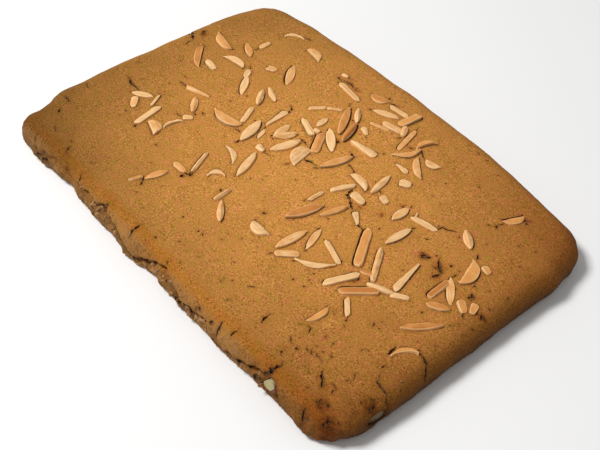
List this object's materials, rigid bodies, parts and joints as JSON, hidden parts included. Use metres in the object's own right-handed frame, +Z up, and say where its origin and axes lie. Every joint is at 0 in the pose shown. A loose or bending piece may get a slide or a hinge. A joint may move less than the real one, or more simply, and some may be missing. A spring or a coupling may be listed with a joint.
{
  "type": "speculaas cookie",
  "caption": "Thick rectangular slab of spiced brown biscuit with rounded edges and slivered almonds baked into its top.",
  "frame": {"origin": "under the middle of the slab's bounding box, on the surface that it rests on", "axes": "+Z up out of the almond side, +X along the long side, +Y across the slab towards its bowed long edge"},
  "size_m": [0.1846, 0.138, 0.014],
  "materials": {
    "baked_crust": "matte",
    "almond": "satin",
    "almond_skin": "matte"
  },
  "bodies": {
    "root": {"speculaas_slab": "baked_crust"}
  },
  "joints": []
}
